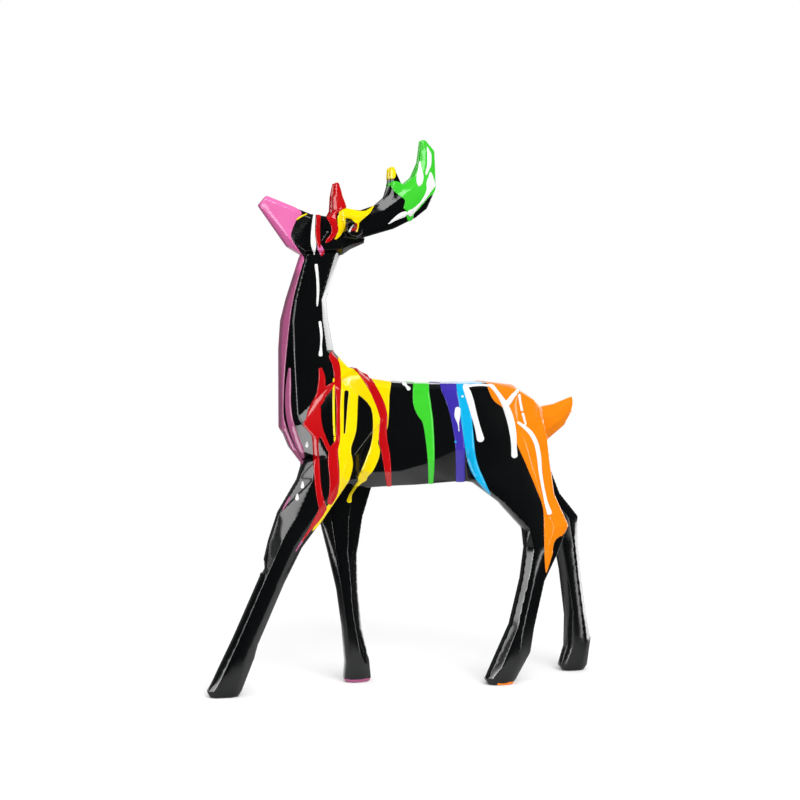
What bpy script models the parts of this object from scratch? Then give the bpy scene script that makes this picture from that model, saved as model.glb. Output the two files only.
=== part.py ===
"""Geometric deer statue, cast in one piece: a faceted stag that stands with its head raised.

The deer faces -X, its left flank is at -Y and +Z is up.  Every limb is a chain of eight sided
sections.  A section is given in the side view by its front and rear edge points, and across
the deer by half widths.  The chains are joined into one closed solid.

The pose in the side view is drawn on a grid of its own: x in parts of the total length, z in
parts of the total height.  All widths across the deer are real lengths.
"""
from collections import namedtuple

import bmesh
import bpy
from mathutils import Vector

# Driving sizes, in metres
TOTAL_HEIGHT = 0.600
TOTAL_LENGTH = 0.447
TRUNK_HALF = 0.040
BACK_FLAT_HALF = 0.027
BELLY_FLAT_HALF = 0.022
NECK_HALF = 0.021
HEAD_HALF = 0.020
LEG_HALF = 0.0115
SOLE_HALF = 0.0085
HIP_HALF = 0.023
LEFT_FOOT = 0.031
RIGHT_FORE_FOOT = 0.016
RIGHT_HIND_FOOT = 0.025
ANTLER_SPREAD = 0.012
ANTLER_TIP_SPREAD = 0.0045
ANTLER_HALF = 0.007
TAIL_HALF = 0.013
EYE_DEPTH = 0.0016
EAR_HALF = 0.0095
EAR_REACH = 0.010
EAR_HOLLOW = 0.005
CUT_MARGIN = 0.004

# The grid of the side view: 447 parts long from hoof to hoof, 600 parts high
LENGTH_UNIT = TOTAL_LENGTH / 447.0
HEIGHT_UNIT = TOTAL_HEIGHT / 600.0

# One section: its front and rear edge points in the side view, the half width of its sides, the
# shares of it that the front and rear flats take, and the shares of its depth that the two
# chamfers take.
Section = namedtuple("Section", "front rear half flats shares")


def place(x, y, z):
    """A point of the deer, from x and z on the side view's grid and y in metres."""
    return Vector((x * LENGTH_UNIT, y, z * HEIGHT_UNIT))


def section_points(section, centre_y):
    """Gives the eight corners of a section, from the front flat round the left side."""
    (fx, fz), (rx, rz) = section.front, section.rear
    half = section.half
    front_flat, rear_flat = (half * share for share in section.flats)
    front_share, rear_share = section.shares

    def corner(share, y):
        return place(fx + (rx - fx) * share, centre_y + y, fz + (rz - fz) * share)

    left = [corner(0.0, -front_flat), corner(front_share, -half),
            corner(1.0 - rear_share, -half), corner(1.0, -rear_flat)]
    right = [corner(1.0, rear_flat), corner(1.0 - rear_share, half),
             corner(front_share, half), corner(0.0, front_flat)]
    return left + right


def centre_of(corners):
    """The middle of some mesh corners."""
    return sum((corner.co for corner in corners), Vector()) / len(corners)


def wall(bm, corners, middle):
    """Adds one four cornered facet, folded outward along a diagonal when it isn't flat."""
    a, b, c, d = corners
    normal = (c.co - a.co).cross(d.co - b.co).normalized()
    outward = normal if normal.dot(a.co - middle) > 0 else -normal
    twist = outward.dot((a.co + c.co - b.co - d.co) / 2)
    if abs(twist) < 1e-7:
        bm.faces.new((a, b, c, d))
    elif twist > 0:
        bm.faces.new((a, b, c))
        bm.faces.new((a, c, d))
    else:
        bm.faces.new((a, b, d))
        bm.faces.new((b, c, d))


def loft(name, sections, centres):
    """Makes one closed solid through a chain of sections."""
    mesh = bpy.data.meshes.new(name)
    bm = bmesh.new()
    rings = []
    for section, centre_y in zip(sections, centres):
        rings.append([bm.verts.new(point) for point in section_points(section, centre_y)])
    count = len(rings[0])
    for upper, lower in zip(rings, rings[1:]):
        for i in range(count):
            j = (i + 1) % count
            wall(bm, (upper[i], upper[j], lower[j], lower[i]), centre_of(upper + lower))
    bm.faces.new(rings[0])
    bm.faces.new(list(reversed(rings[-1])))
    bmesh.ops.recalc_face_normals(bm, faces=bm.faces)
    bm.to_mesh(mesh)
    bm.free()
    solid = bpy.data.objects.new(name, mesh)
    bpy.context.scene.collection.objects.link(solid)
    return solid


def chain(name, rows, centre_y=0.0, mirror=False):
    """Lofts rows of sections, on the centre line or on both sides of it."""
    sections = [Section(*row) for row in rows]
    centres = centre_y if isinstance(centre_y, (list, tuple)) else [centre_y] * len(sections)
    solids = [loft(name + "_left", sections, [-y for y in centres])]
    if mirror:
        solids.append(loft(name + "_right", sections, list(centres)))
    return solids


def trunk():
    """The barrel of the body, from the chest to the rump, as sections from back to belly."""
    stations = (
        # back point, belly point, width share, top flat share, lower chamfer share
        ((-78, 338), (-78, 240), 0.50, 0.40, 0.20),
        ((-64, 348), (-62, 225), 0.74, 0.44, 0.16),
        ((-52, 350), (-50, 222), 0.86, 0.56, 0.155),
        ((-41, 339.5), (-39, 220.5), 0.94, 0.88, 0.155),
        ((-14, 335.5), (-8, 222), 0.98, 1.00, 0.155),
        ((16, 333.5), (14, 222.5), 1.00, 1.00, 0.21),
        ((56, 333), (56, 225), 1.00, 1.00, 0.36),
        ((70, 333), (70, 225), 1.00, 0.98, 0.35),
        ((96, 334), (92, 222), 0.99, 0.95, 0.22),
        ((122, 331), (128, 224), 0.96, 0.80, 0.22),
        ((143, 318), (152, 236), 0.84, 0.62, 0.26),
        ((156, 307), (163, 250), 0.56, 0.50, 0.30),
    )
    rows = []
    for back, belly, width, flat, lower in stations:
        half = TRUNK_HALF * width
        flats = (BACK_FLAT_HALF * flat / half, BELLY_FLAT_HALF / TRUNK_HALF)
        rows.append((back, belly, half, flats, (0.045, lower)))
    return chain("trunk", rows)


def neck():
    """The neck and the chest, from the jaw down to the crease above the fore legs."""
    rows = (
        ((-109.5, 474), (-67.5, 477), NECK_HALF * 0.92, (0.57, 0.52), (0.09, 0.18)),
        ((-125.5, 424), (-84.5, 425), NECK_HALF, (0.57, 0.48), (0.16, 0.16)),
        ((-131, 402), (-82, 402), NECK_HALF * 1.10, (0.54, 0.45), (0.18, 0.17)),
        ((-133, 372), (-76, 369), NECK_HALF * 1.22, (0.51, 0.43), (0.20, 0.18)),
        ((-133, 286), (-62, 352), NECK_HALF * 1.36, (0.49, 0.56), (0.21, 0.28)),
        ((-130, 281), (-41, 343), NECK_HALF * 1.62, (0.41, 0.59), (0.18, 0.28)),
        ((-123, 264), (-18, 299), TRUNK_HALF * 0.99, (0.33, 0.71), (0.26, 0.11)),
        ((-111, 248), (-46, 260), TRUNK_HALF * 1.03, (0.29, 0.73), (0.38, 0.20)),
        ((-92, 226), (-44, 232), TRUNK_HALF * 0.90, (0.28, 0.56), (0.16, 0.25)),
    )
    return chain("neck", rows)


def head():
    """The wedge shaped head, from the muzzle to the blunt back of the skull."""
    rows = (
        ((-148, 536.5), (-156, 527), HEAD_HALF * 0.36, (0.69, 0.69), (0.30, 0.30)),
        ((-107, 520), (-124.5, 483.5), HEAD_HALF * 0.86, (0.64, 0.58), (0.10, 0.12)),
        ((-101, 517.5), (-108.5, 473.5), HEAD_HALF, (0.65, 0.60), (0.09, 0.10)),
        ((-76, 514), (-66, 474), HEAD_HALF, (0.70, 0.55), (0.10, 0.16)),
        ((-56, 508), (-57, 480), HEAD_HALF * 0.75, (0.73, 0.60), (0.16, 0.20)),
        ((-41, 496), (-41, 487), HEAD_HALF * 0.42, (0.71, 0.71), (0.25, 0.25)),
    )
    return chain("head", rows)


def leg(name, side, foot, widths, edges):
    """One leg from its top section to its sole, drifting sideways from the hip to the foot.

    Each row of widths is a half width, the share of the sideways drift, and the shares of the
    front and rear chamfers.  Each row of edges is a front and a rear edge point.
    """
    sections = []
    centres = []
    for (half, drift, front_share, rear_share), (front, rear) in zip(widths, edges):
        sections.append(Section(front, rear, half, (0.50, 0.45), (front_share, rear_share)))
        centres.append(-side * (HIP_HALF + (foot - HIP_HALF) * drift))
    return [loft(name, sections, centres)]


def fore_legs():
    """The left fore leg reaches forward and the right one stands under the chest."""
    widths = [(TRUNK_HALF * 0.44, 0.0, 0.17, 0.22), (TRUNK_HALF * 0.43, 0.1, 0.25, 0.24),
              (TRUNK_HALF * 0.36, 0.3, 0.42, 0.26), (LEG_HALF * 1.18, 0.5, 0.34, 0.28),
              (LEG_HALF * 1.02, 0.7, 0.18, 0.29), (LEG_HALF, 0.9, 0.18, 0.28),
              (LEG_HALF * 1.06, 1.0, 0.18, 0.26), (SOLE_HALF * 1.16, 1.0, 0.20, 0.24),
              (SOLE_HALF, 1.0, 0.20, 0.24)]
    left = (((-112, 252), (-50, 262)), ((-118.5, 231), (-59, 236)), ((-140, 196), (-95, 184)),
            ((-150, 167), (-115, 158)), ((-160, 127), (-135, 119)), ((-189, 63), (-163, 56)),
            ((-213, 14), (-167, 42)), ((-218, 6), (-181, 6)), ((-214.5, 0), (-185, 0)))
    right = (((-100, 252), (-30, 262)), ((-95, 222), (-28, 222)), ((-87, 184), (-39, 186)),
             ((-77, 143), (-46, 143)), ((-68, 103), (-45, 101)), ((-62.5, 62), (-41, 60)),
             ((-59.5, 23), (-32.5, 24)), ((-61, 4), (-30.5, 4)), ((-57.5, 0), (-33.5, 0)))
    right_widths = [(half, drift, min(front, 0.24), max(rear, 0.36))
                    for half, drift, front, rear in widths]
    return (leg("fore_left", 1, LEFT_FOOT, widths, left)
            + leg("fore_right", -1, RIGHT_FORE_FOOT, right_widths, right))


def hind_legs():
    """The hind legs, each from the broad thigh past the hock to the hoof."""
    widths = [(TRUNK_HALF * 0.36, 0.0, 0.14, 0.34), (TRUNK_HALF * 0.43, 0.0, 0.10, 0.28),
              (TRUNK_HALF * 0.42, 0.05, 0.05, 0.24), (TRUNK_HALF * 0.36, 0.25, 0.05, 0.26),
              (LEG_HALF * 1.20, 0.5, 0.10, 0.34), (LEG_HALF * 1.06, 0.6, 0.22, 0.40),
              (LEG_HALF, 0.75, 0.27, 0.45), (LEG_HALF, 0.9, 0.28, 0.45),
              (LEG_HALF * 1.06, 1.0, 0.28, 0.30), (SOLE_HALF * 1.16, 1.0, 0.22, 0.26),
              (SOLE_HALF, 1.0, 0.22, 0.26)]
    left = (((62, 306), (150, 306)), ((62, 262), (160, 272)), ((73, 227), (163, 244)),
            ((106, 202), (168, 210)), ((133.5, 172), (184, 175)), ((135.5, 151), (173, 145)),
            ((130.5, 116), (157, 113)), ((118, 66), (145.5, 64)), ((93, 12), (140.5, 35)),
            ((89.5, 6), (124.5, 6)), ((93, 0), (120, 0)))
    right = (((74, 306), (156, 306)), ((80, 262), (170, 272)), ((100, 227), (176, 240)),
             ((138, 201), (190.5, 205)), ((169, 172), (212, 179)), ((186, 150), (213, 150)),
             ((193, 116), (216.5, 116)), ((199.5, 64), (224, 64)), ((199, 28), (229, 37)),
             ((192, 6), (225, 6)), ((196, 0), (221, 0)))
    right_widths = [(half, drift, front, min(rear, 0.27)) for half, drift, front, rear in widths]
    return (leg("hind_left", 1, LEFT_FOOT, widths, left)
            + leg("hind_right", -1, RIGHT_HIND_FOOT, right_widths, right))


def tail():
    """The short raised tail."""
    rows = (
        ((146, 306), (157, 258), TAIL_HALF * 1.2, (0.58, 0.51), (0.30, 0.30)),
        ((160, 305), (170, 271), TAIL_HALF, (0.46, 0.38), (0.34, 0.34)),
        ((177, 308), (188, 285), TAIL_HALF * 0.66, (0.47, 0.35), (0.34, 0.34)),
        ((198, 316), (198, 301), TAIL_HALF * 0.24, (0.48, 0.48), (0.30, 0.30)),
    )
    return chain("tail", rows)


def antlers():
    """Two nearly parallel antlers, each a beam with an upturned leaf end and two tines."""
    spread, close = ANTLER_SPREAD, ANTLER_TIP_SPREAD
    beam = (
        ((-68, 524), (-64, 488), ANTLER_HALF, (0.43, 0.43), (0.25, 0.25)),
        ((-47, 522), (-42, 493), ANTLER_HALF, (0.43, 0.43), (0.25, 0.25)),
        ((-27, 529), (-10, 502.5), ANTLER_HALF, (0.43, 0.43), (0.28, 0.25)),
        ((-14, 540), (14, 514.5), ANTLER_HALF * 1.05, (0.41, 0.41), (0.28, 0.25)),
        ((4, 551.5), (27.5, 525), ANTLER_HALF, (0.43, 0.43), (0.24, 0.28)),
        ((14, 560), (37, 545), ANTLER_HALF * 0.86, (0.42, 0.42), (0.28, 0.30)),
        ((20.5, 576), (37, 571), ANTLER_HALF * 0.68, (0.32, 0.32), (0.36, 0.36)),
        ((22, 590), (36.5, 588), ANTLER_HALF * 0.44, (0.39, 0.39), (0.36, 0.36)),
        ((23, 600), (26.5, 600), ANTLER_HALF * 0.18, (0.63, 0.63), (0.3, 0.3)),
    )
    ease = (0, 0, 0, 0, 0.15, 0.4, 0.7, 0.9, 1.0)
    beam_y = [spread + (close - spread) * share for share in ease]
    fork_y = [spread * share for share in (0.95, 0.80, 0.60)]
    fork = (
        ((-18, 533), (6, 540), ANTLER_HALF * 0.86, (0.50, 0.50), (0.28, 0.28)),
        ((-13, 551), (-2, 554), ANTLER_HALF * 0.62, (0.46, 0.46), (0.30, 0.30)),
        ((-12.5, 569.5), (-8.5, 569.5), ANTLER_HALF * 0.30, (0.48, 0.48), (0.30, 0.30)),
    )
    brow_y = [spread * share for share in (1.0, 0.92, 0.78, 0.62)]
    brow = (
        ((-84, 508), (-56, 510), ANTLER_HALF * 0.86, (0.50, 0.50), (0.28, 0.28)),
        ((-76.5, 522), (-62, 524), ANTLER_HALF * 0.74, (0.46, 0.46), (0.30, 0.30)),
        ((-76, 537), (-66.5, 539), ANTLER_HALF * 0.52, (0.44, 0.44), (0.30, 0.30)),
        ((-73.5, 551.5), (-70, 551.5), ANTLER_HALF * 0.24, (0.48, 0.48), (0.30, 0.30)),
    )
    solids = chain("beam", beam, beam_y, mirror=True)
    solids += chain("fork_tine", fork, fork_y, mirror=True)
    solids += chain("brow_tine", brow, brow_y, mirror=True)
    return solids


def ears():
    """Short flared ears that stand out sideways from the skull under the antlers."""
    solids = []
    for side in (-1, 1):
        rows = (
            ((-68, 503), (-46, 500), EAR_HALF, (0.53, 0.53), (0.28, 0.28)),
            ((-65, 503), (-47.5, 500), EAR_HALF * 0.84, (0.50, 0.38), (0.30, 0.34)),
        )
        ear = loft("ear", [Section(*row) for row in rows], [0.0, 0.0])
        turn_ear(ear, side)
        solids.append(ear)
    return solids


def turn_ear(ear, side):
    """Moves the corners of an ear so that it points out to one side of the head."""
    count = len(ear.data.vertices) // 2
    for i, vertex in enumerate(ear.data.vertices):
        x, y, z = vertex.co
        reach = HEAD_HALF * 0.6 if i < count else HEAD_HALF + EAR_REACH
        vertex.co = (x, side * reach, z + y)
    bm = bmesh.new()
    bm.from_mesh(ear.data)
    bmesh.ops.recalc_face_normals(bm, faces=bm.faces)
    bm.to_mesh(ear.data)
    bm.free()


def prism(name, outline, y_from, y_to):
    """A closed prism across Y from an outline in the side view."""
    mesh = bpy.data.meshes.new(name)
    bm = bmesh.new()
    near = [bm.verts.new(place(x, y_from, z)) for x, z in outline]
    far = [bm.verts.new(place(x, y_to, z)) for x, z in outline]
    bm.faces.new(near)
    bm.faces.new(list(reversed(far)))
    for i in range(len(near)):
        j = (i + 1) % len(near)
        bm.faces.new((near[i], far[i], far[j], near[j]))
    bmesh.ops.recalc_face_normals(bm, faces=bm.faces)
    bm.to_mesh(mesh)
    bm.free()
    cutter = bpy.data.objects.new(name, mesh)
    cutter.hide_render = True
    cutter.display_type = "WIRE"
    bpy.context.scene.collection.objects.link(cutter)
    return cutter


def cuts():
    """The wedge of each eye, the hollow of each ear and the chip in the left fore leg."""
    eye = ((-93, 508), (-84, 498), (-91, 488), (-93, 498))
    hollow = ((-62, 507), (-56, 508), (-53, 503), (-56, 498.5), (-61, 499.5), (-63, 503))
    end = HEAD_HALF + EAR_REACH
    solids = []
    for side in (-1, 1):
        eye_floor = HEAD_HALF - EYE_DEPTH
        solids.append(prism("eye", eye, side * eye_floor, side * (HEAD_HALF + CUT_MARGIN)))
        solids.append(prism("ear_hollow", hollow, side * (end - EAR_HOLLOW), side * (end + CUT_MARGIN)))
    chip = ((-154.6, 145), (-153.8, 133.5), (-157, 131.5), (-170, 130.5), (-170, 145))
    solids.append(prism("chip", chip, -LEFT_FOOT - LEG_HALF, -LEFT_FOOT + LEG_HALF * 1.2))
    return solids


def combine(base, tools, operation):
    """Applies one exact Boolean of each tool to the base solid and removes the tools."""
    for tool in tools:
        modifier = base.modifiers.new(operation, "BOOLEAN")
        modifier.operation = operation
        modifier.solver = "EXACT"
        modifier.object = tool
        bpy.context.view_layer.objects.active = base
        bpy.ops.object.modifier_apply(modifier=modifier.name)
        mesh = tool.data
        bpy.data.objects.remove(tool)
        bpy.data.meshes.remove(mesh)


def recentre(solid):
    """Puts the origin at the bottom centre of the solid's box, with the mesh moved to suit."""
    xs, ys, zs = zip(*(vertex.co for vertex in solid.data.vertices))
    shift = Vector(((min(xs) + max(xs)) / 2, (min(ys) + max(ys)) / 2, min(zs)))
    for vertex in solid.data.vertices:
        vertex.co -= shift
    return shift


def lacquer():
    """Black gloss lacquer."""
    material = bpy.data.materials.new("black_lacquer")
    material.use_nodes = True
    shader = material.node_tree.nodes["Principled BSDF"]
    shader.inputs["Base Color"].default_value = (0.008, 0.008, 0.009, 1.0)
    shader.inputs["Roughness"].default_value = 0.12
    return material


def main():
    for old in list(bpy.data.objects):
        bpy.data.objects.remove(old)
    base = trunk()[0]
    tools = neck() + head() + fore_legs() + hind_legs() + tail() + antlers() + ears()
    combine(base, tools, "UNION")
    combine(base, cuts(), "DIFFERENCE")
    base.name = "deer"
    base.data.name = "deer"
    recentre(base)
    base.data.materials.clear()
    base.data.materials.append(lacquer())
    for polygon in base.data.polygons:
        polygon.material_index = 0
        polygon.use_smooth = False


main()
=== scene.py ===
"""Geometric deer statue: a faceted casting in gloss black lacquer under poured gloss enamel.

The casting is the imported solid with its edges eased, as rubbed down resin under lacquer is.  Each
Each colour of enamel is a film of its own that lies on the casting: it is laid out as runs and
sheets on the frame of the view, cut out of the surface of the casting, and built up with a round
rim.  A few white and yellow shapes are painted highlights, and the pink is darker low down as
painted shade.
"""

import logging
import math
from dataclasses import dataclass, field
from enum import Enum
from typing import Any, Callable, Optional, Union

import bmesh
import bpy
import numpy as np
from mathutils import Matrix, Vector
from mathutils.kdtree import KDTree


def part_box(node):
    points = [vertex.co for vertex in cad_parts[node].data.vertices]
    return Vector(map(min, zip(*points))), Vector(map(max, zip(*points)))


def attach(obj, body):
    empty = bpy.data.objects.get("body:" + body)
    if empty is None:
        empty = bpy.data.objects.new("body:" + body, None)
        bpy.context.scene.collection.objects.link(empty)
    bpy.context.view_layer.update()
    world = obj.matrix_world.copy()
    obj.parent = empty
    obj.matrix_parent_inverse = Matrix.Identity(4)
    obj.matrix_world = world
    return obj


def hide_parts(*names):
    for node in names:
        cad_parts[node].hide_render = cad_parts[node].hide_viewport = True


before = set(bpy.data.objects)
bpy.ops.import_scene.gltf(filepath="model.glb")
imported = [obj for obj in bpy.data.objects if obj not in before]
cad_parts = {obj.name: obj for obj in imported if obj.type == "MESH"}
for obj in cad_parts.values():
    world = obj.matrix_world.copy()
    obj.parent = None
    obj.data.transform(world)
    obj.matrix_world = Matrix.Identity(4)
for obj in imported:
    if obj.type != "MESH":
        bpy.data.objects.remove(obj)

LOG = logging.getLogger("deer")
MM = 0.001
NODE = "deer"
TINY = 1e-9  # the least length that is divided by
VIEW_PIXELS = 800  # width and height of the frame of the view
FAR_PX = 10.0  # as far from a shape of enamel as distances are worked out
LONGEST_EDGE_MM = 10.0  # in the mesh of any piece
CUT_ABOVE = 1.3  # an edge is cut from this many times its wanted length
SHANK_TOP = 0.152  # the legs are slender below this height


# ---------------------------------------------------------------- colours and nodes
def linear(hex_colour: str) -> tuple[float, float, float, float]:
    """Turns an sRGB hex colour into linear light.

    Args:
        hex_colour: six hex digits.

    Returns:
        The linear red, green and blue, with an alpha of 1.
    """
    parts = [int(hex_colour[i:i + 2], 16) / 255 for i in (0, 2, 4)]
    red, green, blue = (c / 12.92 if c <= 0.04045 else ((c + 0.055) / 1.055) ** 2.4 for c in parts)
    return red, green, blue, 1.0


def add_node(tree: bpy.types.NodeTree, kind: str, links: Optional[dict] = None,
             **settings: Any) -> bpy.types.Node:
    """Adds one shader node with its settings and its links.

    Args:
        tree: the node tree that takes the node.
        kind: the node's type name.
        links: input name or index to the output socket that feeds it.
        settings: values of sockets, by name with _ for a space, or of the node's own properties.

    Returns:
        The new node.
    """
    node = tree.nodes.new(kind)
    for name, value in settings.items():
        socket = node.inputs.get(name.replace("_", " "))
        if socket is not None:
            socket.default_value = value
        else:
            setattr(node, name, value)
    for name, source in (links or {}).items():
        tree.links.new(source, node.inputs[name])
    return node


def empty_material(name: str) -> tuple[bpy.types.Material, bpy.types.NodeTree]:
    """Makes a material with no nodes in it.

    Args:
        name: the material's name.

    Returns:
        The material and its node tree.
    """
    material = bpy.data.materials.new(name)
    material.use_nodes = True
    material.node_tree.nodes.clear()
    return material, material.node_tree


# ---------------------------------------------------------------- finishes
@dataclass(frozen=True)
class Enamel:
    """Poured gloss enamel: it levels to a wet shine, with a faint swell and an uneven colour."""

    name: str
    body: str
    thin: str
    slot: str
    roughness: float = 0.10
    ior: float = 1.5
    # The colour is deeper and paler in clouds, two or three runs wide
    cloud_mm: float = 22.0
    # A film that levelled as it ran keeps a swell about as long as a run is wide
    swell_mm: float = 9.0
    swell_height_mm: float = 0.10
    # Painted shade: below a height the colour turns darker, as the pink looks where it lies in
    # shade
    painted_shade: str = ""
    painted_shade_top: float = 0.0
    painted_shade_blend: float = 0.012

    def material(self) -> bpy.types.Material:
        """Builds the enamel's material.

        Returns:
            The material.
        """
        material, tree = empty_material(self.name)
        place = add_node(tree, "ShaderNodeTexCoord").outputs["Object"]
        cloud = add_node(tree, "ShaderNodeTexNoise", {"Vector": place},
                         Scale=1 / (self.cloud_mm * MM), Detail=2.0)
        tone = add_node(tree, "ShaderNodeMix", {"Factor": cloud.outputs["Fac"]}, data_type="RGBA")
        tone.inputs[6].default_value = linear(self.thin)
        tone.inputs[7].default_value = linear(self.body)
        colour = tone.outputs[2]
        # Painted shade: below a height the colour goes over to the darker shade colour
        if self.painted_shade:
            height = add_node(tree, "ShaderNodeSeparateXYZ", {"Vector": place}).outputs["Z"]
            above_shade = add_node(tree, "ShaderNodeMapRange", {"Value": height},
                             interpolation_type="SMOOTHSTEP",
                             From_Min=self.painted_shade_top - self.painted_shade_blend, From_Max=self.painted_shade_top)
            over = add_node(tree, "ShaderNodeMix",
                            {"Factor": above_shade.outputs["Result"], 7: colour}, data_type="RGBA")
            over.inputs[6].default_value = linear(self.painted_shade)
            colour = over.outputs[2]
        swell = add_node(tree, "ShaderNodeTexNoise", {"Vector": place},
                         Scale=1 / (self.swell_mm * MM), Detail=1.0)
        relief = add_node(tree, "ShaderNodeBump", {"Height": swell.outputs["Fac"]},
                          Strength=1.0, Distance=self.swell_height_mm * MM)
        shader = add_node(tree, "ShaderNodeBsdfPrincipled",
                          {"Base Color": colour, "Normal": relief.outputs["Normal"]},
                          Roughness=self.roughness, IOR=self.ior)
        add_node(tree, "ShaderNodeOutputMaterial", {"Surface": shader.outputs["BSDF"]})
        return material


@dataclass(frozen=True)
class Lacquer:
    """Sprayed black gloss lacquer: a mirror like coat with fine orange peel and slow waves."""

    name: str = "sprayed_black_gloss_lacquer"
    deep: str = "050607"
    dusty: str = "0b0d0e"
    slot: str = "black_lacquer"
    ior: float = 1.52
    # Dust and wiping leave the gloss uneven in clouds as wide as a cloth's stroke
    roughness: tuple[float, float] = (0.09, 0.17)
    haze_mm: float = 60.0
    # Orange peel is 1 to 2 mm wide, which is too fine to show in the render, so it is drawn as
    # coarse as it needs to show
    peel_mm: float = 4.0
    peel_height_mm: float = 0.012
    # Rubbing down by hand leaves slow waves, as long as the sanding block is wide
    wave_mm: float = 26.0
    wave_height_mm: float = 0.22

    def material(self) -> bpy.types.Material:
        """Builds the lacquer's material.

        Returns:
            The material.
        """
        material, tree = empty_material(self.name)
        place = add_node(tree, "ShaderNodeTexCoord").outputs["Object"]
        haze = add_node(tree, "ShaderNodeTexNoise", {"Vector": place},
                        Scale=1 / (self.haze_mm * MM), Detail=3.0)
        tone = add_node(tree, "ShaderNodeMix", {"Factor": haze.outputs["Fac"]}, data_type="RGBA")
        tone.inputs[6].default_value = linear(self.deep)
        tone.inputs[7].default_value = linear(self.dusty)
        rough = add_node(tree, "ShaderNodeMapRange", {"Value": haze.outputs["Fac"]},
                         To_Min=self.roughness[0], To_Max=self.roughness[1])
        wave = add_node(tree, "ShaderNodeTexNoise", {"Vector": place},
                        Scale=1 / (self.wave_mm * MM), Detail=1.0)
        slow = add_node(tree, "ShaderNodeBump", {"Height": wave.outputs["Fac"]},
                        Strength=1.0, Distance=self.wave_height_mm * MM)
        peel = add_node(tree, "ShaderNodeTexNoise", {"Vector": place},
                        Scale=1 / (self.peel_mm * MM), Detail=1.0)
        fine = add_node(tree, "ShaderNodeBump",
                        {"Height": peel.outputs["Fac"], "Normal": slow.outputs["Normal"]},
                        Strength=1.0, Distance=self.peel_height_mm * MM)
        shader = add_node(tree, "ShaderNodeBsdfPrincipled",
                          {"Base Color": tone.outputs[2], "Roughness": rough.outputs["Result"],
                           "Normal": fine.outputs["Normal"]}, IOR=self.ior)
        add_node(tree, "ShaderNodeOutputMaterial", {"Surface": shader.outputs["BSDF"]})
        return material


@dataclass(frozen=True)
class FloorPaint:
    """Matt white floor paint: it takes soft shadows and shows no shine of its own.

    The floor fades out into the white room, and in the gloss of the deer it fades out nearer.
    """

    name: str = "matt_white_studio_floor"
    colour: str = "fafafa"
    roughness: float = 0.5
    whole_within: float = 0.30
    gone_from: float = 0.855
    gloss_nearer: float = 2.1

    def material(self) -> bpy.types.Material:
        """Builds the floor's material.

        Returns:
            The material.
        """
        material, tree = empty_material(self.name)
        place = add_node(tree, "ShaderNodeTexCoord").outputs["Object"]
        radius = add_node(tree, "ShaderNodeVectorMath", {0: place}, operation="LENGTH")
        ray = add_node(tree, "ShaderNodeLightPath")
        nearer = add_node(tree, "ShaderNodeMath", {0: ray.outputs["Is Glossy Ray"]},
                          operation="MULTIPLY_ADD")
        nearer.inputs[1].default_value = self.gloss_nearer - 1
        nearer.inputs[2].default_value = 1.0
        reach = add_node(tree, "ShaderNodeMath",
                         {0: radius.outputs["Value"], 1: nearer.outputs[0]}, operation="MULTIPLY")
        fade = add_node(tree, "ShaderNodeMapRange", {"Value": reach.outputs[0]},
                        interpolation_type="SMOOTHSTEP",
                        From_Min=self.whole_within, From_Max=self.gone_from)
        paint = add_node(tree, "ShaderNodeBsdfDiffuse", Roughness=self.roughness)
        paint.inputs["Color"].default_value = linear(self.colour)
        clear = add_node(tree, "ShaderNodeBsdfTransparent")
        mix = add_node(tree, "ShaderNodeMixShader", {0: fade.outputs["Result"],
                                                     1: paint.outputs[0], 2: clear.outputs[0]})
        add_node(tree, "ShaderNodeOutputMaterial", {"Surface": mix.outputs[0]})
        return material


BLACK = Lacquer()
# Each enamel is opaque and looks wet: the colour of its body, then where it lies thin
# The pink carries painted shade: it is darker below a height, over the neck and chest
PINK = Enamel("poured_pink_enamel_with_painted_shade", "f47cbd", "ea6cb0", "pink_enamel",
              painted_shade="ae5a85", painted_shade_top=0.462)
YELLOW = Enamel("poured_yellow_enamel_and_painted_highlight", "ffe900", "ffdc00", "yellow_enamel")
GREEN = Enamel("poured_green_enamel", "4bdc38", "33cc2a", "green_enamel")
PURPLE = Enamel("poured_purple_enamel", "4436b4", "3a2fa4", "purple_enamel")
CYAN = Enamel("poured_sky_blue_enamel", "10baf0", "0caee6", "blue_enamel")
ORANGE = Enamel("poured_orange_enamel", "fd9014", "f8850a", "orange_enamel")
RED = Enamel("poured_red_enamel", "cf0c12", "b80b14", "red_enamel")
WHITE = Enamel("poured_white_enamel_and_painted_highlights", "fbfbfa", "f6f6f5", "white_enamel")


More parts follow.
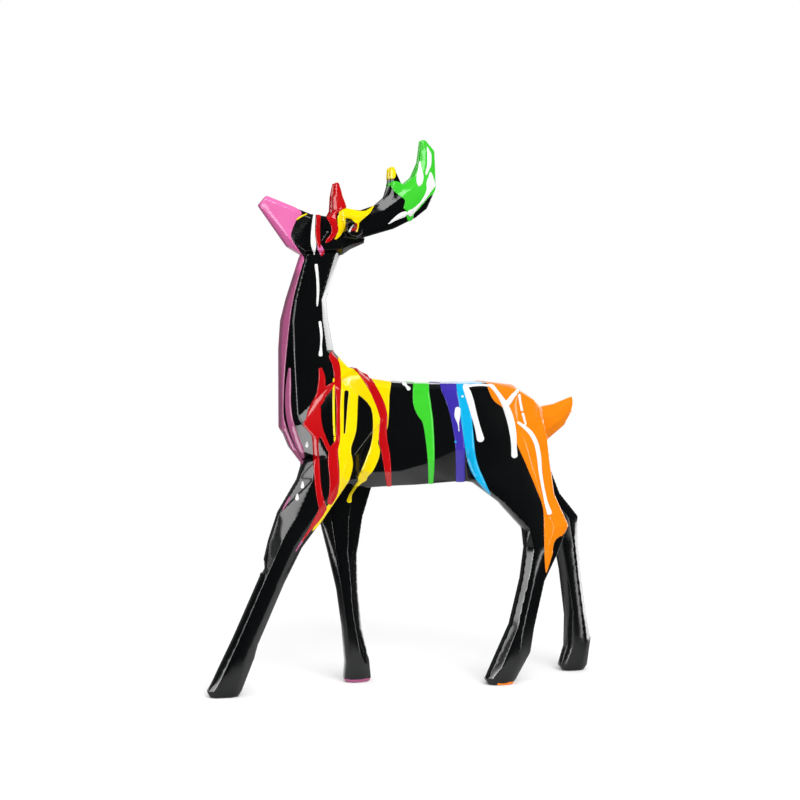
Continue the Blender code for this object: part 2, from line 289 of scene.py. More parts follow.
# ---------------------------------------------------------------- the frame of the view
@dataclass(frozen=True)
class ViewFrame:
    """The photographer's place, and the frame of the view that the enamel is laid out on."""

    azimuth: float = -12.0
    elevation: float = 3.0
    distance: float = 1.9
    aim: tuple[float, float, float] = (-0.0055, 0.0010, 0.31476)
    lens: float = 77.382
    sensor: float = 36.0
    clip: tuple[float, float] = (0.05, 50.0)
    # The plane between the near and the far side, and how far before it the near flank lies
    middle: float = 0.001
    flank: float = 0.034

    @property
    def axes(self) -> tuple[np.ndarray, np.ndarray, np.ndarray]:
        """The directions of the view.

        Returns:
            The directions right, up and back.
        """
        a, e = math.radians(self.azimuth), math.radians(self.elevation)
        back = np.array((math.sin(a) * math.cos(e), -math.cos(a) * math.cos(e), math.sin(e)))
        right = np.array((math.cos(a), math.sin(a), 0.0))
        return right, np.cross(back, right), back

    @property
    def eye(self) -> np.ndarray:
        """The photographer's place."""
        return np.array(self.aim) + self.axes[2] * self.distance

    @property
    def pixel_mm(self) -> float:
        """Millimetres to a pixel on the near flank."""
        near = self.distance - self.flank
        return near * self.sensor / (VIEW_PIXELS * self.lens) / MM

    def lay(self, points: np.ndarray, folded_over: bool = True) -> np.ndarray:
        """Finds where points show in the frame.

        Args:
            points: N by 3 places on the deer, in metres.
            folded_over: whether the far side counts as if mirrored to the near side.

        Returns:
            N by 2 places in pixels.
        """
        right, up, back = self.axes
        folded = points.copy()
        if folded_over:
            folded[:, 1] = self.middle - np.abs(points[:, 1] - self.middle)
        ray = folded - self.eye
        depth = -(ray @ back)
        focal = VIEW_PIXELS * self.lens / self.sensor
        half = VIEW_PIXELS / 2
        return np.stack((half + focal * (ray @ right) / depth,
                         half - focal * (ray @ up) / depth), axis=1)

    def camera(self) -> bpy.types.Object:
        """Makes the camera at the photographer's place.

        Returns:
            The camera object.
        """
        data = bpy.data.cameras.new("camera")
        data.lens = self.lens
        data.sensor_width = self.sensor
        data.clip_start, data.clip_end = self.clip
        camera = bpy.data.objects.new("camera", data)
        camera.location = self.eye
        camera.rotation_euler = Vector(self.axes[2]).to_track_quat("Z", "Y").to_euler()
        bpy.context.scene.collection.objects.link(camera)
        bpy.context.scene.camera = camera
        return camera


VIEW = ViewFrame()


# ---------------------------------------------------------------- shapes of enamel on the frame
def eased(points: np.ndarray, closed: bool, steps: int = 3) -> np.ndarray:
    """Runs a smooth curve through points, as liquid edges do.

    Args:
        points: the points, one to a row, with any further values carried along.
        closed: whether the last point joins the first.
        steps: how many pieces each span is cut into.

    Returns:
        The finer points.
    """
    if len(points) < 3:
        return points
    count = len(points)
    spans = count if closed else count - 1
    result = []
    for i in range(spans):
        if closed:
            before, a, b, after = (points[(i + k) % count] for k in (-1, 0, 1, 2))
        else:
            before, a, b = points[max(i - 1, 0)], points[i], points[i + 1]
            after = points[min(i + 2, count - 1)]
        # A cubic from a to b, which leaves and arrives in line with their neighbours
        for step in range(steps):
            t = step / steps
            result.append(0.5 * (2 * a + (b - before) * t
                                 + (2 * before - 5 * a + 4 * b - after) * t * t
                                 + (3 * a - before - 3 * b + after) * t ** 3))
    if not closed:
        result.append(points[-1])
    return np.array(result)


def near_box(line: np.ndarray, places: np.ndarray, margin: float) -> np.ndarray:
    """Tells which places lie within a margin of the box around a line."""
    low, high = line[:, :2].min(axis=0) - margin, line[:, :2].max(axis=0) + margin
    return ((places > low) & (places < high)).all(axis=1)


def off_span(spots: np.ndarray, a: np.ndarray, b: np.ndarray) -> tuple[np.ndarray, np.ndarray]:
    """Measures places from one straight span of a line.

    Args:
        spots: N by 2 places.
        a: the start of the span.
        b: its end.

    Returns:
        For each place, the share of the span at its nearest point and the distance to that.
    """
    along = b[:2] - a[:2]
    x, y = spots[:, 0] - a[0], spots[:, 1] - a[1]
    share = np.clip((x * along[0] + y * along[1]) / max(along @ along, TINY), 0, 1)
    return share, np.hypot(x - share * along[0], y - share * along[1])


def melt(first: np.ndarray, second: np.ndarray, reach: float) -> np.ndarray:
    """Joins two distances with a fillet, as two wet runs flow together.

    Args:
        first: distances to one shape.
        second: distances to the other.
        reach: size of the fillet.

    Returns:
        Distances to the joined shape.
    """
    share = np.clip(0.5 + 0.5 * (second - first) / reach, 0, 1)
    return second * (1 - share) + first * share - reach * share * (1 - share)


@dataclass(frozen=True)
class Run:
    """One run of enamel: stations of place and half width along it, in pixels of the frame."""

    stations: tuple[tuple[float, float, float], ...]

    def gap(self, places: np.ndarray) -> np.ndarray:
        """Distances from places to the edge of the run, negative inside it.

        Args:
            places: N by 2 places in pixels.

        Returns:
            N distances in pixels.
        """
        line = eased(np.array(self.stations, float), closed=False)
        if len(line) == 1:
            line = np.concatenate((line, line))
        near = near_box(line, places, FAR_PX + line[:, 2].max())
        spots = places[near]
        best = np.full(len(spots), FAR_PX)
        for a, b in zip(line, line[1:]):
            share, away = off_span(spots, a, b)
            best = np.minimum(best, away - (a[2] + (b[2] - a[2]) * share))
        result = np.full(len(places), FAR_PX)
        result[near] = best
        return result

    def plainer(self, start: float, keep: float, widen: float) -> "Run":
        """A version of this run for the far side: the same source, another length and width.

        Args:
            start: height in pixels under which the run changes.
            keep: share of the length below that height that stays.
            widen: factor of the width.

        Returns:
            The changed run.
        """
        changed = []
        for u, v, half in self.stations:
            below = max(v - start, 0.0)
            changed.append((u, min(v, start) + below * keep, half * (widen if below > 0 else 1.0)))
        return Run(tuple(changed))


@dataclass(frozen=True)
class Sheet:
    """A sheet of enamel with a smooth closed outline, in pixels of the frame."""

    corners: tuple[tuple[float, float], ...]

    def gap(self, places: np.ndarray) -> np.ndarray:
        """Distances from places to the outline, negative inside it.

        Args:
            places: N by 2 places in pixels.

        Returns:
            N distances in pixels.
        """
        line = eased(np.array(self.corners, float), closed=True)
        near = near_box(line, places, FAR_PX)
        spots = places[near]
        best = np.full(len(spots), FAR_PX)
        inside = np.zeros(len(spots), bool)
        for a, b in zip(line, np.roll(line, -1, axis=0)):
            best = np.minimum(best, off_span(spots, a, b)[1])
            along = b - a
            x, y = spots[:, 0] - a[0], spots[:, 1] - a[1]
            spans = (y < 0) != (y < along[1])
            if spans.any():
                left, right = x * along[1], y * along[0]
                inside ^= spans & (left < right if along[1] > 0 else left > right)
        result = np.full(len(places), FAR_PX)
        result[near] = np.where(inside, -best, best)
        return result

    def plainer(self, start: float, keep: float, widen: float) -> "Sheet":
        """A version of this sheet for the far side, shortened below a height, as wide as it is."""
        return Sheet(tuple((u, min(v, start) + max(v - start, 0.0) * keep)
                           for u, v in self.corners))


Shape = Union[Run, Sheet]


@dataclass(frozen=True)
class FootRim:
    """A rim of enamel round the bottom of one foot, where it stood in a pool."""

    x: float
    half_mm: float
    height_mm: float
    far: bool
    # Its top edge goes up and down by so much, in waves of these lengths along and across
    uneven_mm: float = 0.7
    waves_mm: tuple[float, float] = (3.1, 4.3)

    def gap_mm(self, points: np.ndarray) -> np.ndarray:
        """Distances from points to the edge of the rim, negative inside it.

        Args:
            points: N by 3 places on the deer.

        Returns:
            N distances in millimetres.
        """
        along = np.abs(points[:, 0] - self.x) / MM - self.half_mm
        other_side = (points[:, 1] > VIEW.middle) != self.far
        uneven = (self.uneven_mm * np.sin(points[:, 0] / (self.waves_mm[0] * MM))
                  * np.cos(points[:, 1] / (self.waves_mm[1] * MM)))
        above = points[:, 2] / MM - self.height_mm - uneven
        return np.where(other_side, FAR_PX, np.maximum(above, along))


@dataclass(frozen=True)
class Pour:
    """All of one colour of enamel on the statue.

    Its shapes are laid out on the near side and folded over to the far side, where they either
    end higher up or give way to shapes of their own.
    """

    piece: str
    enamel: Enamel
    shapes: tuple[Shape, ...]
    gaps: tuple[Shape, ...] = ()
    far_shapes: Optional[tuple[Shape, ...]] = None
    inner: tuple[Shape, ...] = ()
    rims: tuple[FootRim, ...] = ()
    far_start: float = 400.0
    far_keep: float = 0.8
    far_widen: float = 1.0
    # How the film is built up: its thickness, its round rim and the crown in its middle
    thickness_mm: float = 0.55
    rim_mm: float = 1.7
    crown_mm: float = 0.18
    crown_reach_mm: float = 5.0
    # The fillets, in pixels, where runs flow together and round a gap in them
    fillet: float = 2.0
    gap_fillet: float = 1.0
    # The near layout changes to the far one over this width at the middle of the deer
    blend_mm: float = 3.0
    # Faces that look inward, as between the legs, stay bare below the flanks: how far a face
    # may turn, what a full turn counts as, and where and how strongly the flanks lift that
    inward: float = 0.12
    inward_mm: float = 8.0
    flank_low: float = 0.222
    flank_blend: float = 0.02
    flank_mm: float = 30.0
    # The inner shapes lie on far faces that look at the photographer at least this much
    seen: float = 0.1

    def one_side(self, places: np.ndarray, shapes: tuple[Shape, ...],
                 gaps: tuple[Shape, ...] = ()) -> np.ndarray:
        """Distances to the edge of this colour on one side of the deer.

        Args:
            places: N by 2 places in pixels.
            shapes: the shapes of enamel there.
            gaps: the shapes left bare in them.

        Returns:
            N distances in pixels.
        """
        total = np.full(len(places), FAR_PX)
        for shape in shapes:
            total = melt(total, shape.gap(places), self.fillet)
        for gap in gaps:
            total = -melt(-total, gap.gap(places), self.gap_fillet)
        return total

    def gap_mm(self, points: np.ndarray, normals: np.ndarray) -> np.ndarray:
        """Distances from points on the deer to the edge of this colour, negative under it.

        Args:
            points: N by 3 places on the deer.
            normals: N by 3 outward directions there.

        Returns:
            N distances in millimetres.
        """
        places = VIEW.lay(points)
        side = points[:, 1] - VIEW.middle
        share = np.clip(side / (self.blend_mm * MM) + 0.5, 0, 1)
        near = share < 1
        far = share > 0
        result = np.zeros(len(points))
        if near.any():
            result[near] += self.one_side(places[near], self.shapes, self.gaps) * (1 - share[near])
        if far.any():
            shapes = self.far_shapes
            if shapes is None:
                shapes = tuple(shape.plainer(self.far_start, self.far_keep, self.far_widen)
                               for shape in self.shapes)
            result[far] += self.one_side(places[far], shapes) * share[far]
        result *= VIEW.pixel_mm
        outward = normals[:, 1] * np.where(side < 0, -1, 1)
        high = np.clip((points[:, 2] - self.flank_low) / self.flank_blend, 0, 1)
        bare = (self.inward - outward) * self.inward_mm - high * self.flank_mm
        result = np.maximum(result, bare)
        if self.inner:
            facing = (side > 0) & (normals @ VIEW.axes[2] > self.seen)
            drips = self.one_side(VIEW.lay(points, folded_over=False), self.inner) * VIEW.pixel_mm
            result = np.where(facing, np.minimum(result, drips), result)
        for rim in self.rims:
            result = np.minimum(result, rim.gap_mm(points))
        return result

    def height_mm(self, gap_mm: np.ndarray) -> np.ndarray:
        """Thickness of the film, with its round rim.

        Args:
            gap_mm: distances from the film's edge, negative inside it.

        Returns:
            The thicknesses in millimetres.
        """
        share = np.clip(-gap_mm / self.rim_mm, 0, 1)
        crown = self.crown_mm * np.clip(-gap_mm / self.crown_reach_mm, 0, 1)
        return self.thickness_mm * np.sqrt(np.clip(1 - (1 - share) ** 2, 0, 1)) + crown


# The colours in the order they were poured.  Places are in pixels of the frame of the view, and
# the third value of a run's stations is its half width.
POURS: tuple[Pour, ...] = (
    Pour("pink_enamel_film", PINK, shapes=(
        Sheet(((257, 205), (265, 193), (275, 197), (301, 211), (297, 219), (293, 228), (291, 237),
               (296, 246), (304, 258), (301, 264), (293, 257), (278, 240), (262, 217))),
        Run(((298, 262, 5), (293, 280, 5), (288, 300, 5), (285, 320, 5), (283, 340, 4.8),
             (280.5, 370, 4.6), (279, 400, 4.6), (279.5, 420, 4.8), (286, 440, 5.0),
             (294, 454, 4.4), (300, 462, 3.0))),
        Run(((289.5, 369, 1.2), (288.5, 385, 2.6), (288, 402, 2.9), (289.5, 418, 3.1),
             (294, 434, 3.4), (300, 448, 3.2), (303, 457, 1.6))),
        Run(((283, 509.5, 0.7), (286.5, 503, 1.1), (290, 497, 0.8))),
        Run(((318.6, 244, 1.4), (320.5, 249, 2.8), (321.8, 252.5, 2.6))),
        Run(((306, 535, 0.6), (301, 543, 0.9), (296, 551, 0.5))),
    ), rims=(FootRim(-0.0585, 30, 3.6, True),), far_shapes=(
        Sheet(((257, 205), (265, 193), (275, 197), (302, 211), (299, 219), (296, 228), (293, 237),
               (297, 246), (304, 258), (301, 264), (293, 257), (278, 240), (262, 217))),
        Run(((298, 262, 5), (292, 280, 5), (287, 300, 4.6), (284, 320, 4.4), (282, 340, 4.6),
             (281, 370, 5.2), (281, 395, 4.6), (282, 415, 3.6), (285, 432, 2.8))),
        Run(((289, 330, 1.4), (288, 350, 2.6), (288, 380, 3.0), (289, 405, 2.4), (290, 413, 2.8))),
    ), fillet=0.5),
    Pour("yellow_enamel_and_painted_highlight_film", YELLOW, shapes=(
        Sheet(((338, 356), (345, 362), (356, 366), (372, 374), (390, 379), (389.5, 395), (389, 412),
               (387.5, 428), (384, 436), (378, 441), (380, 450), (378.5, 459), (373, 471),
               (366, 478), (361, 480.5), (358, 478.6), (365, 461), (371, 444), (373, 427),
               (371, 408), (360, 396), (358, 399), (356.4, 430), (351, 448.6), (353, 463),
               (351, 475), (345, 490), (334, 508), (323, 521), (313, 531), (314, 527), (322, 513),
               (331, 501), (338.5, 489), (339.5, 471), (338, 449), (339.5, 425), (340.5, 397),
               (341, 380))),
        Run(((364, 478.5, 3.0), (359, 483, 1.9), (354, 489, 1.4))),
        Run(((333.8, 379, 0.9), (333.6, 400, 1.2), (334.0, 425, 1.2), (335.0, 442, 1.0))),
        Sheet(((339, 210), (343, 206.5), (350, 208.5), (358, 210.5), (366, 210.5), (374, 205.5),
               (370, 213), (364.5, 218), (358.5, 223), (355.5, 223), (351.5, 219.5), (346, 218),
               (340, 215))),
        Run(((341.3, 218, 4.0), (341.6, 224, 3.8), (340.8, 229.5, 3.0), (338.6, 235, 2.0),
             (335.6, 238.8, 0.9))),
        Run(((357.4, 222, 1.6), (357.8, 226.5, 1.0), (356.8, 231.5, 0.7))),
        # Painted highlight: a thin yellow line along the edge of the muzzle's pink
        Run(((297, 219.5, 0.7), (301, 216.5, 0.9), (306.5, 214, 0.7))),
        Run(((391.5, 166, 2.0), (391.5, 171, 4.2), (392, 175, 4.0))),
    ), inner=(
        Run(((356, 486, 1.6), (354, 489, 1.4), (350.5, 495, 1.5), (349.3, 500.5, 2.5))),
    ), gaps=(
        Run(((346.6, 392.5, 2.2), (345.8, 402, 1.9), (345.2, 416, 1.4), (344.4, 433, 0.8))),
    ), far_shapes=(
        Sheet(((338, 356), (345, 362), (356, 366), (372, 374), (390, 379), (389.5, 392), (388, 402),
               (382, 406), (379, 414), (378.5, 430), (375, 436), (371, 430), (370, 412), (366, 404),
               (361, 405), (359, 414), (357.5, 440), (355, 462), (350, 468), (346.5, 462),
               (347, 440), (346, 412), (342, 406), (340.5, 397), (341, 380))),
        Sheet(((339, 209), (343, 206.5), (350, 209.5), (358, 211.5), (366, 211), (374, 205.5),
               (370, 212), (365, 217), (359, 222), (352, 219.5), (346, 218), (340, 215))),
        Run(((341, 218, 4.4), (341, 226, 3.0), (340, 234, 1.6))),
        Run(((391.5, 166, 2.0), (391.5, 171, 4.2), (392, 175, 4.0))),
    )),
    Pour("green_enamel_film", GREEN, shapes=(
        Run(((421, 378, 7.8), (421, 392, 8.2), (422, 403, 8.8), (424.5, 412, 7.6),
             (427.8, 421, 5.4), (430, 440, 4.3), (431.2, 460, 3.4), (431, 476, 2.8),
             (430.8, 483, 2.4))),
        Sheet(((390, 183), (393, 190), (399, 195.5), (405, 200.5), (403.5, 208), (407, 211.5),
               (406.8, 218), (409, 222), (412.6, 221), (414, 214), (420, 208), (428, 198),
               (436, 190), (441, 165), (434, 136), (424, 134), (418, 134), (418, 150), (416, 168),
               (411, 178), (404, 183.5), (396, 181))),
    ), far_keep=0.62),
    Pour("purple_enamel_film", PURPLE, shapes=(
        Run(((447.5, 378, 8.8), (449, 388, 8.0), (452, 398, 6.8), (455.5, 412, 6.0),
             (458, 428, 5.2), (460, 445, 4.8), (460.4, 465, 4.6), (460.4, 488, 4.6))),
    ), far_keep=0.75, far_widen=0.9, fillet=1.0),
    Pour("sky_blue_enamel_film", CYAN, shapes=(
        Run(((462, 378, 5.6), (462.6, 388, 6.0), (464.2, 400, 5.8), (466.4, 420, 5.6),
             (469, 440, 5.0), (471, 456, 4.6), (474.8, 469, 4.4), (480, 479, 3.6),
             (485.5, 488, 2.2), (490, 494, 0.8))),
        Run(((462, 380, 4), (480, 382, 2.4))),
        Run(((455.5, 441.8, 1.1),)),
    ), far_keep=0.55, far_widen=0.9),
    Pour("orange_enamel_film", ORANGE, shapes=(
        Sheet(((486, 376), (488.5, 390), (494, 401), (503, 408), (508, 418), (513, 434), (519, 449),
               (524.5, 461), (530, 474), (537, 491), (543, 508), (544, 530), (544.5, 556),
               (546, 573), (549.5, 564), (554, 549), (556, 541), (561, 537), (568, 528), (576, 512),
               (582, 470), (578, 440), (592, 400), (574, 384), (540, 396), (512, 380),
               (498, 374))),
    ), gaps=(
        Run(((560.5, 537.5, 1.2), (557, 541.5, 1.9), (554.5, 547, 1.3), (553.4, 551, 0.6))),
    ), rims=(FootRim(0.106, 10, 2.6, False),), far_shapes=(
        Sheet(((486, 376), (489, 392), (498, 405), (508, 418), (516, 436), (523, 449), (530, 458),
               (535, 478), (542, 486), (550, 476), (560, 470), (572, 458), (578, 440), (592, 400),
               (574, 384), (540, 396), (512, 380), (498, 374))),
    )),
    Pour("red_enamel_film", RED, shapes=(
        Sheet(((337.5, 181), (341, 186), (342.5, 196), (347, 206), (341, 210.5), (336.8, 214),
               (336.4, 219), (338.4, 229.5), (335.6, 236), (330, 241.5), (325.4, 243),
               (326.4, 239.5), (331, 233.5), (331, 226), (328, 220), (326.5, 217), (330.5, 214),
               (328, 204), (328, 192), (332, 183))),
        Run(((318.7, 214, 2.2), (318.0, 226, 2.3), (317.9, 236, 2.3), (318.6, 243, 1.8),
             (319.6, 246.5, 1.2))),
        Run(((321.6, 255, 1.2), (324.2, 251, 0.8))),
        Run(((356, 224.5, 1.5), (355.4, 229, 1.7), (352.6, 229.6, 1.4))),
        Run(((331.5, 352, 1.0), (332, 357, 3.0), (335.5, 363, 3.6), (337.4, 375, 3.4),
             (337.8, 390, 2.8), (338, 405, 2.0), (338.2, 425, 2.0), (337.8, 440, 2.2),
             (334, 449, 4.2), (333, 460, 5.2), (334.5, 478, 5.0), (333.5, 492, 4.2),
             (330, 502, 2.6))),
        Run(((320.5, 369.5, 2.0), (322, 378, 3.4), (321.2, 390, 4.0), (320, 398, 5.0),
             (315, 406, 4.5), (312, 414, 5.0), (310, 422, 4.0))),
        Run(((333.5, 383, 1.2), (329, 388, 3.2), (322, 394, 4.6))),
        Sheet(((303, 424), (311, 412), (320, 406), (321, 416), (322.4, 426), (325.5, 436),
               (329, 444), (331, 451), (327.5, 451), (323.5, 443), (320, 437), (318.5, 444),
               (319.5, 460), (320.6, 480), (323, 496), (326, 507), (323, 512), (319, 508),
               (315.5, 490), (313.8, 470), (312.8, 450), (311.5, 436), (307, 430))),
        Run(((323, 508, 3.4), (319.5, 515, 3.0), (314, 523.5, 2.2), (309, 531, 1.3),
             (302, 541, 0.5))),
        Run(((353, 367, 1.6), (360, 371.5, 3.0), (366.5, 379, 3.6), (372.5, 388, 4.0),
             (377.5, 398, 4.4), (381.5, 408, 4.4), (383.6, 418, 4.0), (383.0, 428, 4.0),
             (383.0, 440, 4.4), (385.5, 452, 4.2), (387.4, 466, 3.6), (388.4, 478, 3.0),
             (389.2, 486, 2.4))),
    ), far_shapes=(
        Sheet(((337.5, 181), (341, 186), (342.5, 196), (347, 206), (341, 210.5), (337.5, 214),
               (337.5, 224), (334, 229), (331, 226), (328.5, 221), (326.5, 217), (330.5, 214),
               (328, 204), (328, 192), (332, 183))),
        Run(((318.2, 214, 1.9), (317.8, 226, 2.4), (318.5, 236, 2.0))),
        Run(((331.5, 352, 1.0), (332, 357, 3.0), (335.5, 363, 3.6), (336.5, 380, 3.6),
             (336, 400, 3.0), (335.5, 425, 3.2), (334, 450, 4.4), (333, 466, 5.0),
             (332.5, 478, 3.6))),
        Run(((320.5, 369.5, 2.0), (322, 380, 3.6), (321.2, 396, 3.4), (320, 416, 2.8),
             (319.5, 440, 3.4), (319.2, 452, 3.0))),
        Run(((353, 367, 1.6), (360, 371.5, 3.0), (366.5, 379, 3.6), (371, 392, 3.8),
             (373, 410, 3.4), (374, 440, 3.6), (374.5, 462, 3.0), (374.5, 470, 3.2))),
    ), fillet=1.2),
    Pour("white_enamel_and_painted_highlight_film", WHITE, shapes=(
        Run(((314.4, 215, 1.3), (313.4, 226, 1.8), (313.0, 236, 2.3), (313.6, 244, 2.8),
             (314.0, 250, 1.7), (314.2, 254.5, 0.5))),
        Run(((349.6, 231.2, 1.0), (351.4, 227.6, 0.8), (353.6, 224.6, 0.6))),
        # Painted highlights and reflections: white sheets on the green and black of the antler,
        # where its gloss catches the light
        Sheet(((420, 161), (417.6, 171), (416.2, 181), (418.6, 186.6), (422.3, 183.4), (423.4, 176),
               (421.4, 167))),
        Sheet(((426.6, 146.5), (429.4, 150.5), (431.2, 156), (430.8, 165), (428.6, 171),
               (426.2, 175.5), (425.2, 173), (426.8, 165), (427.0, 155))),
        Sheet(((430.2, 172), (433.2, 178), (434.6, 186), (430.4, 192), (425.2, 199.4), (419.8, 206),
               (414, 213), (410.2, 216.4), (407.6, 214), (408.4, 210.8), (413, 208.6), (419, 203.4),
               (423.4, 197), (426.4, 189.4), (426.2, 183), (428.2, 177))),
        Sheet(((406.2, 211.4), (400, 213), (394, 217.8), (388, 224.4), (397, 220), (406.4, 216))),
        Run(((316.2, 265.5, 1.7), (317.4, 276, 1.4), (318.0, 290, 1.4), (317.4, 303, 1.0),
             (317.2, 306, 0.5))),
        Run(((320, 322.5, 1.5), (321.4, 334, 1.3), (321, 346, 1.0), (320.6, 354.5, 2.1))),
        Run(((404.2, 383.2, 2.3), (406.4, 386.0, 1.2), (408.6, 388.6, 2.0))),
        Run(((457.6, 409.5, 2.7), (457.2, 416, 2.9), (458.2, 424, 0.8), (458.8, 431, 0.5))),
        Run(((462.4, 396.4, 1.2),)),
        Run(((465.0, 387, 2.4), (467.4, 392, 3.4), (470.6, 402, 3.5), (474.4, 416, 3.0),
             (478.0, 429, 3.0), (480.4, 438.4, 3.8))),
        Run(((466, 386.2, 1.5), (476, 385.0, 1.1), (486, 385.2, 1.0), (493, 387.0, 1.4))),
        Run(((490.5, 385.6, 1.3), (495, 390, 1.9), (500.5, 397.5, 2.3), (505.8, 407, 3.2),
             (510.4, 420, 3.6), (513.2, 435, 3.2), (514, 447, 2.8), (514.4, 455, 3.2))),
        Run(((518.5, 389.5, 1.3), (513.6, 395, 2.1), (508, 402.5, 2.8))),
        # Painted highlight: two short white lines along the rump's edge, where the ridge catches
        # the light
        Run(((519, 395.5, 1.5), (520, 402, 1.2), (521.6, 410, 1.4))),
        Run(((522.6, 414, 1.3), (525.4, 424, 1.0))),
        # Partly white enamel and partly painted highlight: a run down the ridge of the haunch to
        # the hock
        Run(((518, 422.6, 1.2), (524, 427, 1.8), (531, 434, 2.2), (536, 444, 2.2),
             (538.6, 457, 2.1), (540.0, 472, 1.7), (542.6, 488, 1.5), (546.0, 503, 1.6),
             (549.0, 512.5, 2.4))),
        Run(((307, 442.0, 0.8), (306.8, 446, 1.8))),
        Run(((302.6, 482.0, 0.8), (302.4, 486.6, 1.9))),
        Run(((297.4, 494.4, 0.8), (297.0, 498.6, 2.0))),
    ), far_shapes=(
        Run(((316.2, 265.5, 1.9), (317.6, 280, 1.6), (318.2, 300, 1.6), (318.4, 318, 1.4),
             (318.2, 324, 2.2))),
        Run(((465.5, 386.5, 3.0), (468, 392, 4.8), (471.5, 402, 4.2), (474, 414, 4.4))),
        Run(((467, 386.0, 1.6), (476, 385.6, 1.2), (486, 385.8, 1.1), (493.5, 387.2, 1.6))),
        Run(((490.5, 385.0, 1.6), (495, 389.5, 2.4), (500.5, 397, 3.0), (505, 410, 4.0),
             (509, 428, 4.0), (511, 446, 3.6), (512, 468, 3.2), (512.4, 480, 4.0))),
        Run(((518.5, 389.5, 1.6), (514, 395, 2.5), (507, 404.5, 3.2))),
        Run(((404.2, 383.2, 2.3),)),
    ), fillet=1.2, thickness_mm=0.75),
)


# ---------------------------------------------------------------- mesh helpers
def coordinates(bm: bmesh.types.BMesh) -> tuple[np.ndarray, np.ndarray]:
    """Numbers the corners of a mesh and reads them.

    Args:
        bm: the mesh.

    Returns:
        N by 3 places and N by 3 normals.
    """
    bm.verts.index_update()
    places = np.array([v.co[:] for v in bm.verts])
    normals = np.array([v.normal[:] for v in bm.verts])
    return places, normals


def edge_ends(bm: bmesh.types.BMesh) -> np.ndarray:
    """The numbers of the two corners that each edge joins, one row to an edge."""
    return np.array([(e.verts[0].index, e.verts[1].index) for e in bm.edges])


def refine(bm: bmesh.types.BMesh, wanted: Callable[[np.ndarray, np.ndarray], np.ndarray],
           rounds: int) -> None:
    """Cuts edges in half until none is longer than is wanted where it lies.

    Args:
        bm: the mesh, in triangles.
        wanted: gives the longest edge wanted at places with their normals, in metres.
        rounds: the most times that all edges are looked at.
    """
    for _ in range(rounds):
        bm.normal_update()
        places, normals = coordinates(bm)
        ends = edge_ends(bm)
        a, b = places[ends[:, 0]], places[ends[:, 1]]
        lengths = np.linalg.norm(a - b, axis=1)
        middles = (a + b) / 2
        directions = normals[ends[:, 0]] + normals[ends[:, 1]]
        directions /= np.maximum(np.linalg.norm(directions, axis=1), TINY)[:, None]
        limit = np.minimum(wanted(middles, directions), LONGEST_EDGE_MM * MM)
        chosen = [edge for edge, long in zip(bm.edges, lengths > limit * CUT_ABOVE) if long]
        if not chosen:
            break
        bmesh.ops.subdivide_edges(bm, edges=chosen, cuts=1, use_grid_fill=True,
                                  use_single_edge=True)
        bmesh.ops.triangulate(bm, faces=[f for f in bm.faces if len(f.verts) > 3])


@dataclass(frozen=True)
class Calm:
    """How the shading of a glossy piece is evened out along its ridges, but not across them."""

    rounds: int
    degrees: float
    below: float = 1.0

    def even(self, places: np.ndarray, normals: np.ndarray, ends: np.ndarray) -> np.ndarray:
        """Averages each corner's direction with those of its neighbours that nearly agree with it.

        Args:
            places: N by 3 corners.
            normals: N by 3 directions there.
            ends: M by 2 numbers of the corners that edges join.

        Returns:
            N by 3 evened directions.
        """
        normals = normals.copy()
        changed = places[:, 2] < self.below
        ends = ends[changed[ends].any(axis=1)]
        for _ in range(self.rounds):
            agreement = (normals[ends[:, 0]] * normals[ends[:, 1]]).sum(axis=1)
            turn = np.arccos(np.clip(agreement, -1, 1))
            weight = np.exp(-(turn / math.radians(self.degrees)) ** 2)
            total = normals.copy()
            for here, there in ((0, 1), (1, 0)):
                for axis in range(3):
                    total[:, axis] += np.bincount(
                        ends[:, here], weight * normals[ends[:, there], axis], len(normals))
            total /= np.maximum(np.linalg.norm(total, axis=1), TINY)[:, None]
            normals[changed] = total[changed]
        return normals


def finish_piece(bm: bmesh.types.BMesh, name: str, material: bpy.types.Material,
                 calms: tuple[Calm, ...]) -> bpy.types.Object:
    """Turns a mesh into a smooth shaded piece that rides on the statue.

    Args:
        bm: the mesh, which is freed.
        name: the piece's name.
        material: its material.
        calms: how its shading is evened out.

    Returns:
        The piece.
    """
    bm.normal_update()
    places, normals = coordinates(bm)
    ends = edge_ends(bm)
    for calm in calms:
        normals = calm.even(places, normals, ends)
    mesh = bpy.data.meshes.new(name)
    bm.to_mesh(mesh)
    bm.free()
    mesh.materials.append(material)
    mesh.shade_smooth()
    mesh.normals_split_custom_set_from_vertices(normals.tolist())
    piece = bpy.data.objects.new(name, mesh)
    bpy.context.scene.collection.objects.link(piece)
    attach(piece, "root")
    LOG.info("%s: %d triangles", name, sum(len(p.vertices) - 2 for p in mesh.polygons))
    return piece


